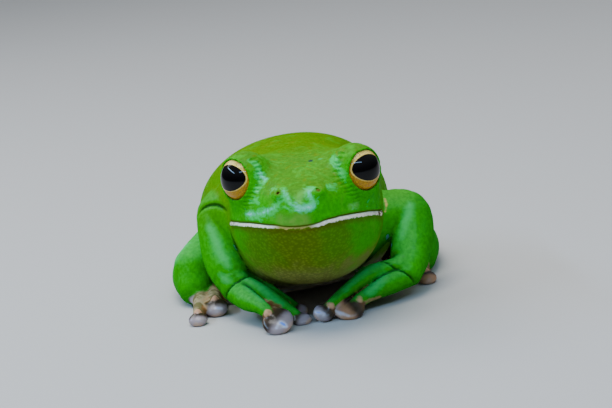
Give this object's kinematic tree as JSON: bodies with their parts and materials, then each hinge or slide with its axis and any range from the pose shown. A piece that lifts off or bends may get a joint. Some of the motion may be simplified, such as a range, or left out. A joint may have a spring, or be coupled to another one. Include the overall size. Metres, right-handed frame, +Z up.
{
  "type": "australian green tree frog",
  "caption": "Life-size still green tree frog sitting with its head up and hands turned in under its chin, gold eyes, broad toe discs and a white line along the lower lip.",
  "frame": {"origin": "centre of the base of the bounding box, on the floor that the frog sits on", "axes": "+Z up, -Y the way the frog faces, +X its left side"},
  "size_m": [0.0704, 0.0924, 0.0446],
  "materials": {
    "green_skin": "moist satin",
    "foot_skin": "moist satin",
    "eye": "wet gloss"
  },
  "bodies": {
    "root": {"head": "green_skin", "torso": "green_skin", "eye_right": "eye", "eye_left": "eye", "upper_arm_right": "green_skin", "forearm_right": "green_skin", "hand_right": "green_skin", "thigh_right": "green_skin", "shank_right": "green_skin", "foot_right": "foot_skin", "upper_arm_left": "green_skin", "forearm_left": "green_skin", "hand_left": "green_skin", "thigh_left": "green_skin", "shank_left": "green_skin", "foot_left": "foot_skin"}
  },
  "joints": []
}
